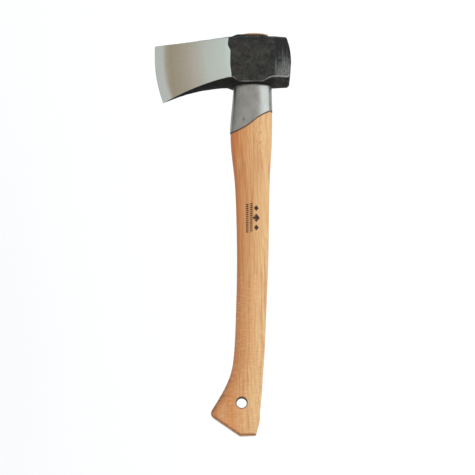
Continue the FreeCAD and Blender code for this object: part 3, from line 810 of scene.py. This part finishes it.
def wedge_wood():
    """The wedge's plainer wood, with its rings the other way."""
    s = Surface("wedge_wood")
    pale, tan, dark = rgb(0.700, 0.440, 0.230), rgb(0.520, 0.290, 0.140), rgb(0.300, 0.150, 0.065)
    colour, rough, relief = wood_grain(s, pale, tan, dark, (0.010, 0.050), 61)[:3]
    return s.finish(colour, rough, 0.0, relief, 0.06)


# The burned mark lies along the handle on its upper side: two columns of ticks beside three lozenges.
MARK_Y, MARK_HALF_LENGTH = 222.5, 18.0
TICK_PITCH, TICK_HALF_WIDTH = 2.4, 1.5
TICK_COLUMNS = ((6.8, 0.0), (11.8, 0.5))                # place along X, and shift in pitches
LOZENGE_X = 17.8
LOZENGES = ((-12.0, 3.2), (0.0, 4.6), (12.0, 3.2))      # place along the mark, and half width


def burned_mark(s):
    """1 where the handle is burned; the mark is a plain ornament and stands for no maker."""
    marks = 0.0
    for x, shift in TICK_COLUMNS:
        inside = s.product(s.calc("LESS_THAN", s.gap(s.x, x), TICK_HALF_WIDTH),
                           s.calc("LESS_THAN", s.gap(s.y, MARK_Y), MARK_HALF_LENGTH))
        turn = s.calc("FRACT", s.calc("ADD", s.calc("DIVIDE", s.y, TICK_PITCH), shift))
        bar = s.rise(s.gap(turn, 0.5), 0.28, 0.38, 1.0, 0.0)
        marks = s.calc("MAXIMUM", marks, s.product(inside, bar))
    for along, reach in LOZENGES:
        spread = s.calc("ADD", s.gap(s.x, LOZENGE_X), s.product(s.gap(s.y, MARK_Y + along), 0.8))
        marks = s.calc("MAXIMUM", marks, s.rise(spread, reach - 0.4, reach, 1.0, 0.0))
    uneven = s.rise(s.noise((2.2, 2.2, 2.2), 31, 2.0), 0.30, 0.50, 0.65, 1.0)
    upper_side = s.calc("GREATER_THAN", s.z, 0.0)
    return s.product(marks, uneven, upper_side)


def staple_steel():
    """Dull zinc-grey wire steel."""
    s = Surface("staple_steel")
    cloud = s.noise((1.6, 1.6, 1.6), 21, 4.0)
    scratch = s.noise((0.2, 0.2, 5.0), 22, 2.0)
    colour = s.mix(s.rise(cloud, 0.35, 0.65), rgb(0.20, 0.205, 0.21), rgb(0.36, 0.365, 0.37))
    rough = s.total(0.30, s.product(cloud, 0.22), s.product(scratch, 0.12))
    return s.finish(colour, rough, 0.95, s.calc("ADD", cloud, scratch), 0.03)


def paint_collar_shadows(collar, handle):
    """Darken the collar's cut edge and top with painted shade, and paint a shadow on the wood right beside
    its lower edge.
    """
    points = read_vectors(collar.data.vertices, "co")
    normals = read_vectors(collar.data.vertex_normals, "vector")
    # painted shade on the downward-facing cut edge, and painted contact shadow on the top 3 mm under the
    # head
    rim = smooth_step(0.35, 0.75, -normals[:, 1])
    under_head = smooth_step(COLLAR_HIGH.y - 3.0 * MM, COLLAR_HIGH.y, points[:, 1])
    store(collar.data, "edge", np.maximum(rim, 0.9 * under_head))
    # a painted shadow on the wood beside the collar's lower edge, where the sheet stands proud
    lower = points[(rim > 0.5) & (points[:, 1] < COLLAR_HIGH.y - 10.0 * MM)]
    tree = KDTree(len(lower))
    for i, point in enumerate(lower):
        tree.insert(point, i)
    tree.balance()
    from_edge = np.array([tree.find(vertex.co)[2] for vertex in handle.data.vertices])
    store(handle.data, "painted_collar_shadow", smooth_step(2.0 * MM, 0.7 * MM, from_edge))


def dress(piece, material):
    """Give a piece its one material."""
    piece.data.materials.clear()
    piece.data.materials.append(material)


# ---------------------------------------------------------------- the five pieces

head = make_head_piece()
dress(head, forged_steel())
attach(head, "root")
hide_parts("axe_head")

handle = resampled("handle", "hickory_handle", 0.7 * MM, 2)
dress(handle, hickory())
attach(handle, "root")
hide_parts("handle")

collar = resampled("collar", "steel_collar", 0.5 * MM, 2)
paint_collar_shadows(collar, handle)
dress(collar, sheet_steel())
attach(collar, "root")
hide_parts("collar")

wedge = resampled("wood_wedge", "eye_wedge", 0.3 * MM, 1)
dress(wedge, wedge_wood())
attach(wedge, "root")
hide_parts("wood_wedge")

staple = resampled("wedge_staple", "star_staple", 0.2 * MM, 1)
dress(staple, staple_steel())
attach(staple, "root")
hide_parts("wedge_staple")


# ---------------------------------------------------------------- floor, light and camera

FLOOR_REACH, FLOOR_DROP = 30.0, 0.45
SKY_LOW, SKY_HIGH, SKY_EVEN_FROM = 0.24, 1.0, 0.65      # strength at the horizon and overhead
CAMERA_PLACE, CAMERA_AIM = Vector((-0.00493, -0.1016, 1.600)), Vector((-0.00493, 0.2004, 0.0))
CAMERA_SENSOR, CAMERA_LENS = 36.0, 101.5
WINDOW_PLACE, WINDOW_AIM = Vector((1.20, 0.6, 0.78)), Vector((0.0, 0.35, 0.0))
WINDOW_SIZE, WINDOW_POWER, WINDOW_COLOUR = (1.6, 1.15), 12.5, (0.83, 0.94, 1.0)


def add_node(tree, kind, settings):
    """A node with these inputs set."""
    node = tree.nodes.new(kind)
    for name, value in settings.items():
        node.inputs[name].default_value = value
    return node


def aimed(place, aim):
    """The rotation that looks from a place at a point."""
    return (aim - place).to_track_quat("-Z", "Y").to_euler()


def make_floor():
    """A pale floor well below the hatchet, so that no shadow shows and the hang hole is light."""
    sides = ((-1, -1), (1, -1), (1, 1), (-1, 1))
    points = [(x * FLOOR_REACH, y * FLOOR_REACH, HEAD_LOW.z - FLOOR_DROP) for x, y in sides]
    floor = make_object("floor", points, [(0, 1, 2, 3)], smooth=False)
    material = bpy.data.materials.new("floor")
    material.use_nodes = True
    shader = material.node_tree.nodes["Principled BSDF"]
    shader.inputs["Base Color"].default_value = rgb(0.96, 0.96, 0.96)
    shader.inputs["Roughness"].default_value = 0.9
    floor.data.materials.append(material)


def make_sky():
    """Even white light from overhead that fades towards the horizon."""
    sky = bpy.data.worlds.new("studio")
    sky.use_nodes = True
    tree = sky.node_tree
    direction = add_node(tree, "ShaderNodeTexCoord", {})
    parts = add_node(tree, "ShaderNodeSeparateXYZ", {})
    limits = {"From Min": 0.0, "From Max": SKY_EVEN_FROM, "To Min": SKY_LOW, "To Max": SKY_HIGH}
    fade = add_node(tree, "ShaderNodeMapRange", limits)
    background = tree.nodes["Background"]
    background.inputs["Color"].default_value = rgb(1.0, 1.0, 1.0)
    tree.links.new(direction.outputs["Generated"], parts.inputs[0])
    tree.links.new(parts.outputs["Z"], fade.inputs["Value"])
    tree.links.new(fade.outputs[0], background.inputs["Strength"])
    bpy.context.scene.world = sky


def make_window():
    """A soft, slightly blue light beside the poll, which the collar mirrors along its back edge."""
    light = bpy.data.lights.new("window", "AREA")
    light.shape = "RECTANGLE"
    light.size, light.size_y = WINDOW_SIZE
    light.energy = WINDOW_POWER
    light.color = WINDOW_COLOUR
    lamp = bpy.data.objects.new("window", light)
    lamp.location = WINDOW_PLACE
    lamp.rotation_euler = aimed(WINDOW_PLACE, WINDOW_AIM)
    bpy.context.scene.collection.objects.link(lamp)


def make_camera():
    """The camera, looking down at the lying hatchet from slightly beyond its knob."""
    camera = bpy.data.cameras.new("camera")
    camera.sensor_width = CAMERA_SENSOR
    camera.lens = CAMERA_LENS
    rig = bpy.data.objects.new("camera", camera)
    rig.location = CAMERA_PLACE
    rig.rotation_euler = aimed(CAMERA_PLACE, CAMERA_AIM)
    bpy.context.scene.collection.objects.link(rig)
    bpy.context.scene.camera = rig


make_floor()
make_sky()
make_window()
make_camera()
bpy.context.scene.view_settings.view_transform = "Standard"
